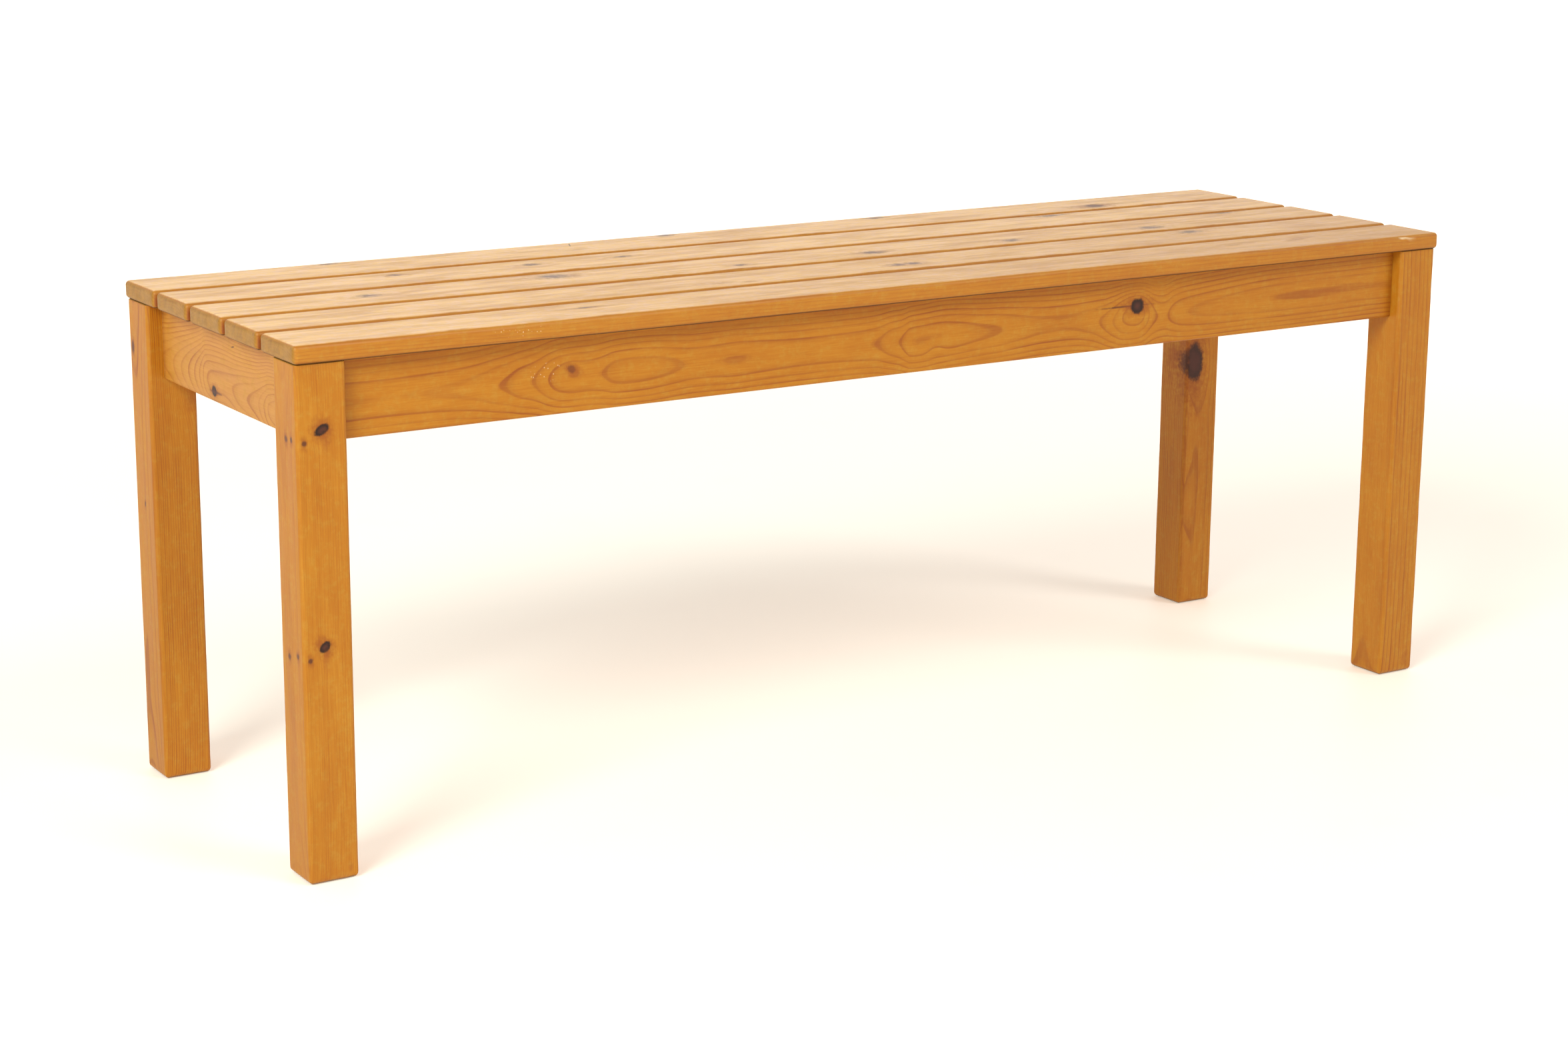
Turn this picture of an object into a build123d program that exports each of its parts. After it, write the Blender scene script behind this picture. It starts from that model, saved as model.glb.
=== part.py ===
from build123d import *

import math
import os

# A slatted pine bench. X runs along the seat, Y from front to back, Z up from the floor.
# The origin is on the floor under the middle of the seat. All sizes are in millimetres.

# Seat
seat_height = 460.0
seat_length = 1245.0
slat_count = 5
slat_width = 70.0
slat_thickness = 16.5
slat_gap = 7.0
slat_rounding = 4.0
end_overhang = 1.5
side_overhang = 3.0

# Legs
leg_side = 45.0
leg_rounding = 3.0
foot_rounding = 5.0

# Aprons: the long pair stands back from the legs' front and back faces, the end pair from their end faces
apron_depth = 68.0
apron_thickness = 20.0
apron_rounding = 2.0
long_setback = 12.5
end_setback = 14.5

# Haunched tenons, mitred where the two of a corner meet inside the leg
tenon_thickness = 10.0
tenon_height = 42.0
tenon_shoulder = 10.0
haunch_length = 9.0
mitre_gap = 1.0
mortise_end_room = 0.8
glue_line = 0.1

# Battens across the frame, housed in the long aprons, that carry the slats
batten_width = 45.0
batten_thickness = 21.0
batten_chamfer = 1.5
housing_depth = 6.0
housing_end_room = 0.3
batten_block_gap = 12.0

# Diagonal blocks in the frame's corners
block_thickness = 20.0
block_height = 44.0
block_drop = 8.0
block_chamfer = 1.5
block_leg_gap = 0.2

# Countersunk wood screws
screw_diameter = 4.0
screw_head_diameter = 8.0
screw_tip_length = 5.0
screw_hole_room = 0.05
screw_sides = 12
slat_bite = 12.0
leg_bite = 16.0
slat_screw_edge = 18.0
slat_screw_pair = 24.0
block_screw_spacing = 24.0

# What follows from the sizes above
cut_past = 1.0
seat_depth = slat_count * slat_width + (slat_count - 1) * slat_gap
frame_top = seat_height - slat_thickness
frame_x = seat_length / 2 - end_overhang
frame_y = seat_depth / 2 - side_overhang
apron_bottom = frame_top - apron_depth
tenon_bottom = apron_bottom + tenon_shoulder
tenon_top = tenon_bottom + tenon_height

# Places in a corner, measured from the leg's two outer faces: u along X and v along Y, both inwards
long_inner_v = long_setback + apron_thickness
end_inner_u = end_setback + apron_thickness
long_tenon_v = long_setback + apron_thickness / 2
end_tenon_u = end_setback + apron_thickness / 2
tenon_cut_back = mitre_gap / math.sqrt(2)

# Lines square to the corner's diagonal, each given by its u + v
leg_arris_sum = 2 * (leg_side - leg_rounding) + math.sqrt(2) * leg_rounding
block_outer_sum = leg_arris_sum + math.sqrt(2) * block_leg_gap
block_inner_sum = block_outer_sum + math.sqrt(2) * block_thickness

clear_y = frame_y - long_inner_v
end_batten_x = frame_x - (block_inner_sum - long_inner_v) - batten_block_gap - batten_width / 2
block_middle_z = frame_top - block_drop - block_height / 2


def prism(points, z_low, z_high):
    """A solid with the plan outline given in corner places (u, v) of the front left corner."""
    outline = [(u - frame_x, v - frame_y) for u, v in points]
    face = make_face(Polyline(*outline, close=True))
    return Pos(0, 0, z_low) * extrude(face, z_high - z_low)


def rectangle(u_range, v_range):
    """The four plan points of a rectangle in corner places."""
    (u_low, u_high), (v_low, v_high) = u_range, v_range
    return [(u_low, v_low), (u_high, v_low), (u_high, v_high), (u_low, v_high)]


def box_between(low, high):
    """A box from its lowest to its highest corner."""
    size = [b - a for a, b in zip(low, high)]
    return Pos(*low) * Box(*size, align=Align.MIN)


def ring(radius, height):
    """The corners of a small round piece's many-sided outline, with the first one repeated at the end."""
    turns = [2 * math.pi * side / screw_sides for side in range(screw_sides + 1)]
    return [(radius * math.cos(turn), radius * math.sin(turn), height) for turn in turns]


def many_sided(stations):
    """A turning along +Z through (radius, height) stations, the last of them a point.
    Small round pieces are many and hidden, so each has a few flat sides in place of a curved one."""
    faces = [Face(Wire.make_polygon(ring(*stations[0])[:-1]))]
    for low, high in zip(stations, stations[1:]):
        near, far = ring(*low), ring(*high)
        for side in range(screw_sides):
            corners = [near[side], near[side + 1], far[side + 1]]
            if high[0] > 0:
                corners.append(far[side])
            faces.append(Face(Wire.make_polygon(corners)))
    return Solid(Shell(faces))


def screw(length):
    """A countersunk screw with its head's flat at the origin and its point down the +Z axis."""
    head = screw_head_diameter / 2
    shank = screw_diameter / 2
    taper_start = length - screw_tip_length
    return many_sided([(head, 0), (shank, head - shank), (shank, taper_start), (0, length)])


def screw_hole(length):
    """The countersunk hole that such a screw seats in, open past the head's flat."""
    head = screw_head_diameter / 2 + screw_hole_room
    shank = screw_diameter / 2 + screw_hole_room
    taper_start = length - screw_tip_length
    stations = [(head, -cut_past), (head, 0), (shank, head - shank), (shank, taper_start)]
    return many_sided(stations + [(0, length + screw_hole_room)])


def placed_group(make, length, places):
    """Copies of a screw, or of its hole, at each place."""
    return [place * make(length) for place in places]


def slat_y(index):
    """The middle of a slat, counted from the front."""
    return (index - (slat_count - 1) / 2) * (slat_width + slat_gap)


def slat_screw_places(batten_x):
    """Two screws up into each slat at a batten. An outer slat lies half over its apron, so
    its pair stands across the batten, in the middle of what the batten carries of it."""
    places = []
    for index in range(slat_count):
        middle = slat_y(index)
        offset = slat_width / 2 - slat_screw_edge
        pair = [(batten_x, middle - offset), (batten_x, middle + offset)]
        if abs(middle) + slat_width / 2 > clear_y:
            carried = (abs(middle) - slat_width / 2 + clear_y) / 2
            row_y = math.copysign(carried, middle)
            pair = [(batten_x - slat_screw_pair / 2, row_y), (batten_x + slat_screw_pair / 2, row_y)]
        places += [Pos(x, y, frame_top - batten_thickness) for x, y in pair]
    return places


def block_screw_places():
    """Two screws on the diagonal of the front left corner, from the block into the leg's inner edge."""
    start = Vector(block_inner_sum / 2 - frame_x, block_inner_sum / 2 - frame_y, 0)
    towards_leg = Vector(-1, -1, 0)
    heights = [block_middle_z - block_screw_spacing / 2, block_middle_z + block_screw_spacing / 2]
    return [Location(Plane(start + Vector(0, 0, z), z_dir=towards_leg)) for z in heights]


def rounded_bar(length, width, height, rounding):
    """A bar with all its edges rounded over: what its three rounded outlines have in common."""
    blank = Box(length, width, height)
    plan = fillet(blank.edges().filter_by(Axis.Z), rounding)
    end = extrude(Plane.YZ * RectangleRounded(width, height, rounding), length / 2, both=True)
    side = extrude(Plane.XZ * RectangleRounded(length, height, rounding), width / 2, both=True)
    return plan & end & side


def seat_slat(index, screw_places):
    """A board with every edge rounded over, with blind holes for its screws."""
    blank = rounded_bar(seat_length, slat_width, slat_thickness, slat_rounding)
    board = Pos(0, slat_y(index), frame_top + slat_thickness / 2) * blank
    for hole in placed_group(screw_hole, batten_thickness + slat_bite, screw_places):
        board -= hole
    return board


def mortises():
    """The two mortises of the front left leg, which meet inside it, and the haunches' slots above."""
    long_low = long_tenon_v - tenon_thickness / 2 - glue_line
    long_high = long_tenon_v + tenon_thickness / 2 + glue_line
    end_low = end_tenon_u - tenon_thickness / 2 - glue_line
    end_high = end_tenon_u + tenon_thickness / 2 + glue_line
    slot_u = (end_low - mortise_end_room, leg_side + cut_past)
    slot_v = (long_low - mortise_end_room, leg_side + cut_past)
    haunch_floor = leg_side - haunch_length - mortise_end_room
    deep = (tenon_bottom - glue_line, tenon_top + glue_line)
    high = (tenon_top, frame_top + cut_past)
    cuts = prism(rectangle(slot_u, (long_low, long_high)), *deep)
    cuts += prism(rectangle((end_low, end_high), slot_v), *deep)
    cuts += prism(rectangle((haunch_floor, leg_side + cut_past), (long_low, long_high)), *high)
    cuts += prism(rectangle((end_low, end_high), (haunch_floor, leg_side + cut_past)), *high)
    return cuts


def front_left_leg_solid():
    """A square leg with rounded corners, all four bottom edges rounded, mortised for both aprons."""
    middle = leg_side / 2
    blank = Box(leg_side, leg_side, frame_top, align=(Align.CENTER, Align.CENTER, Align.MIN))
    foot_edges = blank.edges().group_by(Axis.Z)[0]
    rounded_plan = extrude(RectangleRounded(leg_side, leg_side, leg_rounding), frame_top)
    leg = Pos(middle - frame_x, middle - frame_y, 0) * (fillet(foot_edges, foot_rounding) & rounded_plan)
    leg -= mortises()
    for hole in placed_group(screw_hole, block_thickness + leg_bite, block_screw_places()):
        leg -= hole
    return leg


def apron_bar(length):
    """An apron between its shoulders, along X, with its middle at the origin and its lower edges rounded."""
    bar = Box(length, apron_thickness, apron_depth)
    lower = bar.edges().filter_by(Axis.X).group_by(Axis.Z)[0]
    return fillet(lower, apron_rounding)


def long_tenon():
    """The front apron's left tenon, mitred at its end, with its haunch up to the apron's top."""
    low = long_tenon_v - tenon_thickness / 2
    high = long_tenon_v + tenon_thickness / 2
    mitre = [end_tenon_u + v - long_tenon_v + tenon_cut_back for v in (low, high)]
    tenon = [(mitre[0], low), (leg_side, low), (leg_side, high), (mitre[1], high)]
    haunch = rectangle((leg_side - haunch_length, leg_side), (low, high))
    return prism(tenon, tenon_bottom, tenon_top) + prism(haunch, tenon_top, frame_top)


def end_tenon():
    """The left apron's front tenon, the long tenon's partner across the mitre."""
    low = end_tenon_u - tenon_thickness / 2
    high = end_tenon_u + tenon_thickness / 2
    mitre = [long_tenon_v + u - end_tenon_u + tenon_cut_back for u in (low, high)]
    tenon = [(low, mitre[0]), (low, leg_side), (high, leg_side), (high, mitre[1])]
    haunch = rectangle((low, high), (leg_side - haunch_length, leg_side))
    return prism(tenon, tenon_bottom, tenon_top) + prism(haunch, tenon_top, frame_top)


def front_apron_solid(batten_places):
    """The front apron: a bar with a tenon at each end and a housing for each batten."""
    middle = Pos(0, long_tenon_v - frame_y, apron_bottom + apron_depth / 2)
    apron = middle * apron_bar(2 * (frame_x - leg_side))
    apron += long_tenon()
    apron += mirror(long_tenon(), about=Plane.YZ)
    half_width = batten_width / 2 + glue_line
    for x in batten_places:
        low = (x - half_width, -clear_y - housing_depth, frame_top - batten_thickness - glue_line)
        high = (x + half_width, -clear_y + cut_past, frame_top + cut_past)
        apron -= box_between(low, high)
    return apron


def left_apron_solid():
    """The left end apron: a bar with a tenon at each end."""
    middle = Location((end_tenon_u - frame_x, 0, apron_bottom + apron_depth / 2), (0, 0, 90))
    apron = middle * apron_bar(2 * (frame_y - leg_side))
    apron += end_tenon()
    apron += mirror(end_tenon(), about=Plane.XZ)
    return apron


def batten(batten_x, screw_places):
    """A batten with its ends in the long aprons' housings and its lower edges chamfered."""
    length = 2 * (clear_y + housing_depth - housing_end_room)
    bar = Box(batten_width, length, batten_thickness)
    lower = bar.edges().filter_by(Axis.Y).group_by(Axis.Z)[0]
    bar = Pos(batten_x, 0, frame_top - batten_thickness / 2) * chamfer(lower, batten_chamfer)
    for hole in placed_group(screw_hole, batten_thickness + slat_bite, screw_places):
        bar -= hole
    return bar


def front_left_block_solid():
    """A block across the corner: ends flat on both aprons, middle against the leg's inner edge."""
    outer, inner = block_outer_sum, block_inner_sum
    on_long = [(outer - long_inner_v, long_inner_v), (inner - long_inner_v, long_inner_v)]
    on_end = [(end_inner_u, inner - end_inner_u), (end_inner_u, outer - end_inner_u)]
    low = block_middle_z - block_height / 2
    block = prism(on_long + on_end, low, low + block_height)
    inner_face = block.faces().sort_by(Axis((0, 0, 0), (1, 1, 0)))[-1]
    lower_inner_edge = inner_face.edges().sort_by(Axis.Z)[0]
    block = chamfer(lower_inner_edge, block_chamfer)
    for hole in placed_group(screw_hole, block_thickness + leg_bite, block_screw_places()):
        block -= hole
    return block


def four_corners(name, solid):
    """A front left corner piece, and its mirror images at the other three corners."""
    front_right = mirror(solid, about=Plane.YZ)
    return {
        "front_left_" + name: solid,
        "front_right_" + name: front_right,
        "back_left_" + name: mirror(solid, about=Plane.XZ),
        "back_right_" + name: mirror(front_right, about=Plane.XZ),
    }


def bench():
    """Every piece of the bench by name, each where it sits."""
    batten_places = {"left": -end_batten_x, "middle": 0.0, "right": end_batten_x}
    screws_at = {side: slat_screw_places(x) for side, x in batten_places.items()}
    all_slat_screws = [place for places in screws_at.values() for place in places]

    pieces = four_corners("leg", front_left_leg_solid())
    front_apron = front_apron_solid(batten_places.values())
    left_apron = left_apron_solid()
    pieces["front_apron"] = front_apron
    pieces["back_apron"] = mirror(front_apron, about=Plane.XZ)
    pieces["left_end_apron"] = left_apron
    pieces["right_end_apron"] = mirror(left_apron, about=Plane.YZ)

    for index in range(slat_count):
        own = [place for place in all_slat_screws if abs(place.position.Y - slat_y(index)) < slat_width / 2]
        pieces[f"seat_slat_{index + 1}"] = seat_slat(index, own)

    for side, x in batten_places.items():
        pieces[side + "_batten"] = batten(x, screws_at[side])
        group = placed_group(screw, batten_thickness + slat_bite, screws_at[side])
        pieces[side + "_batten_screws"] = Compound(children=group)

    pieces.update(four_corners("corner_block", front_left_block_solid()))
    block_screws = placed_group(screw, block_thickness + leg_bite, block_screw_places())
    pieces.update(four_corners("block_screws", Compound(children=block_screws)))
    return pieces


os.makedirs("parts", exist_ok=True)
for node, shape in bench().items():
    export_step(shape, f"parts/{node}.step")
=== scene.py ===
"""The looks of a slatted pine bench: its boards as worn, rounded surfaces, their lacquered pine, its screws
and a plain studio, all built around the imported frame. Lengths are in millimetres unless a name or a
property says otherwise, and become metres where a mesh or a light is made."""

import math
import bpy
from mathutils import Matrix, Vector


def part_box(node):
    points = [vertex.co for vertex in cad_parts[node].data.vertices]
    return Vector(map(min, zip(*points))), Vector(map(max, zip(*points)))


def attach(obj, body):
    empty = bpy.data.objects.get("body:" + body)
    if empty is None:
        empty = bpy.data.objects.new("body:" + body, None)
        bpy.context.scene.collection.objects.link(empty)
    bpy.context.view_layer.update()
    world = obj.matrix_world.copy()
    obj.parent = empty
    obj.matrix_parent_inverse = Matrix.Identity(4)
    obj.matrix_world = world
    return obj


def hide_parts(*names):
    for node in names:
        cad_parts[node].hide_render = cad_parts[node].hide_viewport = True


bl_info = {
    "name": "Slatted Pine Bench",
    "version": (1, 0, 0),
    "blender": (4, 5, 0),
    "location": "3D Viewport > Sidebar > Bench",
    "description": "Dresses a slatted pine bench: seat boards, frame, screws and studio",
    "category": "Object",
}

import bmesh
import bpy
import numpy as np
from mathutils import Euler, Matrix, Vector

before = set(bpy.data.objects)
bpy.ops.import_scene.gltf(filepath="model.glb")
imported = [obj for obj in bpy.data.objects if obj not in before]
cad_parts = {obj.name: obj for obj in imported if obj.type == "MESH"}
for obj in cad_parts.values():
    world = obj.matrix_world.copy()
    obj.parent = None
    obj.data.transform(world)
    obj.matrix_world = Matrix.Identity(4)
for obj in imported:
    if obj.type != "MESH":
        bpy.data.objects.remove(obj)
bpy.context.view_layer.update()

MM = 0.001
CORNERS = ("front_left", "front_right", "back_left", "back_right")
BATTENS = ("left_batten", "middle_batten", "right_batten")

# How each board runs, as the turn that brings it onto its own axes: a along it, b and c across it
TURN_ONTO_BOARD = {
    "x": Euler((0, 0, 0)),
    "y": Euler((0, 0, -math.pi / 2)),
    "z": Euler((0, math.pi / 2, 0)),
}


def box_mm(node_name):
    """The lowest and the highest corner of a node, in millimetres."""
    return tuple(np.array(corner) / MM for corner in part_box(node_name))


# How far from the bench's middle the aprons meet the legs, and from an apron's middle its faces lie
LONG_SHOULDER, END_SHOULDER = -box_mm("front_left_leg")[1][:2]
APRON_FACE = np.ptp(box_mm("front_apron"), axis=0)[1] / 2

# Half the length of a knot that reaches right through a board
THROUGH = 60

# How far a batten's screws stand from its middle line and from a board's, and a block's from its middle
OUTER_PAIR, INNER_PAIR, BLOCK_PAIR = 12, 17, 12

# The radius of the studio's floor, in metres
FLOOR_RADIUS = 40.0


# ---- sizes and colours a user would change


def setting(name, description, default, **kind):
    """A property that holds one number, or as many as its default has."""
    make = bpy.props.FloatVectorProperty if isinstance(default, tuple) else bpy.props.FloatProperty
    return make(name=name, description=description, default=default, **kind)


def linear(code):
    """An sRGB hex colour, such as "#d9933b", as linear red, green, blue and a full alpha."""
    shares = np.array([int(code[start : start + 2], 16) for start in (1, 3, 5)]) / 255
    light = np.where(shares <= 0.04045, shares / 12.92, ((shares + 0.055) / 1.055) ** 2.4)
    return (*light.tolist(), 1.0)


def colour(name, description, code):
    """A colour property whose default is an sRGB hex value, which the shaders get as linear light."""
    return setting(name, description, linear(code), subtype="COLOR", size=4, min=0, max=1)


class BenchSizes(bpy.types.PropertyGroup):
    """Sizes of the boards' worked edges, of the wear on them and of the screws, in metres."""

    slat_rounding: setting("Seat board rounding", "Radius of a seat board's edges", 0.004, unit="LENGTH")
    leg_rounding: setting("Leg rounding", "Radius of a leg's upright edges", 0.003, unit="LENGTH")
    foot_rounding: setting("Foot rounding", "Radius round a leg's foot", 0.005, unit="LENGTH")
    eased_edge: setting("Eased edge", "Radius of an edge that was only sanded", 0.0005, unit="LENGTH")
    unevenness: setting("Unevenness", "How far a planed face waves", 0.00008, unit="LENGTH")
    edge_wear: setting("Edge wear", "How far the edges are rubbed back", 0.0004, unit="LENGTH")
    mesh_step: setting("Mesh step", "Distance between a board's cross sections", 0.005, unit="LENGTH")
    screw_head: setting("Screw head", "Diameter of a screw's head", 0.008, unit="LENGTH")
    screw_shank: setting("Screw shank", "Diameter of a screw's shank", 0.004, unit="LENGTH")


class BenchColours(bpy.types.PropertyGroup):
    """Colours of the lacquered pine, of the steel and of the floor."""

    earlywood: colour("Earlywood", "The pale part of a growth ring, under aged lacquer", "#b17017")
    latewood: colour("Latewood", "The dark line that ends a growth ring", "#924c16")
    yellowed: colour("Yellowed", "Spots where the lacquer has yellowed most", "#b27c26")
    knot: colour("Knot", "The heart of a knot", "#48241a")
    knot_rim: colour("Knot rim", "The bark round a dead knot", "#28130a")
    # Also laid as painted shade, in the seat's gaps and by the aprons' shoulders
    halo_and_shade: colour("Knot halo", "The resinous wood round a knot", "#874112")
    # The seat's pale top: rubbed wear, and a painted highlight where it is laid palest
    worn: colour("Worn top", "Seat wood where sitting has rubbed the lacquer pale", "#f3c381")
    faded: colour("Faded top", "Seat wood bleached to its bare pink", "#f3c6a2")
    worn_line: colour("Worn latewood", "Latewood lines in the worn seat", "#cc8a4c")
    grey_knot: colour("Grey knot", "A weathered knot in the seat", "#69524a")
    end_grain: colour("End grain", "The cut ends of the boards", "#9c6c1c")
    # Also laid as a painted shadow line along the seat boards' lower edges and as painted shade at the feet
    grime_and_shade: colour("Grime", "Dirt at the feet and in the joints", "#3a2009")
    chip: colour("Bare chip", "Bare wood where the lacquer has chipped", "#ecd0a4")
    inside: colour("Inside", "Planed pine inside the frame, lacquered once", "#c8924e")
    zinc: colour("Zinc", "Zinc plated steel", "#b9bcc0")
    floor: colour("Floor", "The studio's floor", "#f6eee2")
    floor_glow: colour("Floor glow", "What the floor passes on of the light from all round", "#fff0dc")


class BenchStudio(bpy.types.PropertyGroup):
    """The camera and the lights."""

    camera_place: setting(
        "Camera place", "Where the camera stands", (-1.5948, -2.4644, 0.9180), subtype="XYZ", unit="LENGTH"
    )
    camera_yaw: setting("Camera yaw", "Turn from +Y towards +X", 0.5636, subtype="ANGLE")
    camera_pitch: setting("Camera pitch", "Tilt downwards", 0.2410, subtype="ANGLE")
    camera_roll: setting("Camera roll", "Turn about the line of sight", 0.0067, subtype="ANGLE")
    lens: setting("Lens", "Focal length for a 36 mm wide sensor", 71.2, subtype="DISTANCE_CAMERA")
    room_light: setting("Room light", "How bright the room is for the surfaces that it lights", 0.48)
    room_white: setting("Room white", "How bright the room's walls look, also in gloss", 1.1)
    softbox_light: setting("Softbox light", "Power of the softbox at the front left", 167.0, unit="POWER")
    softbox_colour: setting("Softbox colour", "Its cool daylight", (0.88, 1.0, 0.98), subtype="COLOR")
    softbox_size: setting("Softbox size", "Diameter of the softbox", 2.0, unit="LENGTH")
    softbox_place: setting(
        "Softbox place", "Where the softbox hangs", (-3.6, -2.15, 2.8), subtype="XYZ", unit="LENGTH"
    )
    sun_strength: setting("Sun strength", "Strength of the broad light at the front right", 0.87)
    sun_breadth: setting("Sun breadth", "Angle that the broad light spans", 0.4, subtype="ANGLE")
    sun_place: setting(
        "Sun place", "Where the broad light shines from", (0.42, -0.66, 0.62), subtype="XYZ", unit="LENGTH"
    )


# ---- surfaces

# How finely a board's surface is divided: the rows round a corner, along a rounded end and over its face,
# the distance between rows on a flat, how much of that lies between the last two, and the distance from a
# rounded end to the first section
ARC_ROWS, END_ROWS, CAP_ROWS = 5, 5, 6
FLAT_ROW, FLAT_EDGE, FIRST_SECTION = 9.0, 0.12, 0.6

# Wavelengths, along and across a board, of the waves left by planing and by rubbing, large and small
PLANED, RUBBED, FINE_RUBBED = (160, 45, 45), (46, 30, 30), (9, 9, 9)

# An edge between two faces looks sharp from this angle on
SHARP_ANGLE = math.radians(42)


def ripple(places, size, seed):
    """A smooth unevenness of about -1 to 1: the sum of nine plane waves in random directions, each the sine
    of a place's distance along it over a wavelength near size, at a random phase, divided by half their
    number. size gives the wavelength for each axis."""
    draw = np.random.default_rng(seed)
    directions = draw.normal(size=(9, 3))
    phases = draw.uniform(0, 2 * np.pi, 9)
    waves = (places / np.asarray(size, float)) @ directions.T * 3.6
    return np.sin(waves + phases).sum(axis=1) / 4.5


def outline(flat_rows):
    """The rows of a closed rounded outline, each by the signs of its corner, which pass evenly from one
    corner's to the next's over a flat, and by its outward direction, a quarter turn round each corner."""
    corners = np.array([(1, 1), (-1, 1), (-1, -1), (1, -1)])
    signs, ways = [], []
    for at, corner in enumerate(corners):
        turns = np.pi / 2 * (at + np.linspace(0, 1, ARC_ROWS + 1))
        arc = np.stack([np.cos(turns), np.sin(turns)], axis=1)
        even = np.linspace(0, 1, flat_rows[at % 2] + 1)
        close = FLAT_EDGE * even[1]
        share = np.concatenate([[0, close], even[1:-1], [1 - close]])[:, None]
        signs += [np.tile(corner, (ARC_ROWS, 1)), corner + (corners[(at + 1) % 4] - corner) * share]
        ways += [arc[:-1], np.tile(arc[-1], (len(share), 1))]
    return np.concatenate(signs), np.concatenate(ways)


def bar_surface(half, rounding, end_radii, step, least=0.3):
    """A closed bar with rounded edges, from its half sizes: its outline carried along a, each corner at its
    centre plus its radius times the outward direction. Towards an end the outline is inset as a quarter
    circle falls away, but its corners keep at least the least radius, and copies of the last outline, shrunk
    to its middle, close it. step is the distance between sections. Returns the places and the directions."""
    turns = np.linspace(np.pi / 2, 0, END_ROWS + 1)
    stations = []
    for side, radius in zip((-1, 1), end_radii):
        along = side * (half[0] - radius + radius * np.sin(turns))
        stations.append(np.stack([along, radius * (1 - np.cos(turns)), side * np.sin(turns)], axis=1))
    first, last = stations[0], stations[1][::-1]
    body = np.zeros((int(round((last[0, 0] - first[-1, 0]) / step)) + 1, 3))
    body[:, 0] = np.linspace(first[-1, 0] + FIRST_SECTION, last[0, 0] - FIRST_SECTION, len(body))
    along, inset, lean = np.concatenate([first, body, last]).T[..., None, None]

    signs, ways = outline([max(3, int(round(2 * across / FLAT_ROW))) for across in half[1:]])
    radii = np.maximum(rounding - inset, least)
    ring = (half[1:] - inset - radii) * signs + radii * ways
    along, lean = (np.broadcast_to(each, (*ring.shape[:2], 1)) for each in (along, lean))
    places = np.concatenate([along, ring], axis=2)
    outward = np.concatenate([lean, ways * np.sqrt(1 - lean**2)], axis=2)

    shrink = 1 - np.linspace(0, 1, CAP_ROWS + 1)[1:] ** 1.3
    scale = np.stack([np.ones_like(shrink), shrink, shrink], axis=1)[:, None]
    endwise = np.zeros((CAP_ROWS, *places.shape[1:]))
    endwise[..., 0] = 1
    grid = np.concatenate([(places[0] * scale)[::-1], places, places[-1] * scale])
    return grid, np.concatenate([-endwise, outward, endwise])


def wear(grid, ways, sizes, seed, dents=()):
    """Moves a surface inwards along its outward directions: by the waves left by planing, by the rubbing of
    its edges, which grows with the product of the direction's two larger shares, and by its dents, each a
    bell of the distance from its middle."""
    places, outward = grid.reshape(-1, 3), ways.reshape(-1, 3)
    shares = np.sort(np.abs(outward), axis=1)
    edge = np.clip(2 * shares[:, 1] * shares[:, 2], 0, 1)
    depth = sizes.unevenness / MM * np.clip(1 + ripple(places, PLANED, seed), 0, None)
    rubbed = 0.45 + 0.35 * ripple(places, RUBBED, seed + 1) + 0.2 * ripple(places, FINE_RUBBED, seed + 2)
    depth += sizes.edge_wear / MM * edge * np.clip(rubbed, 0, None)
    for middle, reach, deep in dents:
        distance = (places - np.array(middle)) / np.array(reach)
        depth += deep * np.exp(-(distance**2).sum(axis=1))
    return (places - outward * depth[:, None]).reshape(grid.shape)


def grid_mesh(name, grids):
    """Closed meshes, in one, of grids of places whose rows run round them: quads between neighbouring rows.
    The first and the last section have shrunk to a point, which weld makes one."""
    grid = grids.reshape(-1, *grids.shape[-3:])
    index = np.arange(grid[..., 0].size).reshape(grid.shape[:-1])
    ahead = np.roll(index, -1, axis=2)
    quads = np.stack([index[:, :-1], ahead[:, :-1], ahead[:, 1:], index[:, 1:]], axis=-1).reshape(-1, 4)
    mesh = bpy.data.meshes.new(name)
    mesh.from_pydata((grid.reshape(-1, 3) * MM).tolist(), [], quads.tolist())
    return mesh


def weld(mesh):
    """Joins the places that coincide, drops what has no area, and turns every face outwards."""
    shape = bmesh.new()
    shape.from_mesh(mesh)
    bmesh.ops.remove_doubles(shape, verts=shape.verts, dist=1e-6)
    bmesh.ops.dissolve_degenerate(shape, edges=shape.edges, dist=1e-7)
    bmesh.ops.recalc_face_normals(shape, faces=shape.faces)
    shape.to_mesh(mesh)
    shape.free()


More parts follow.
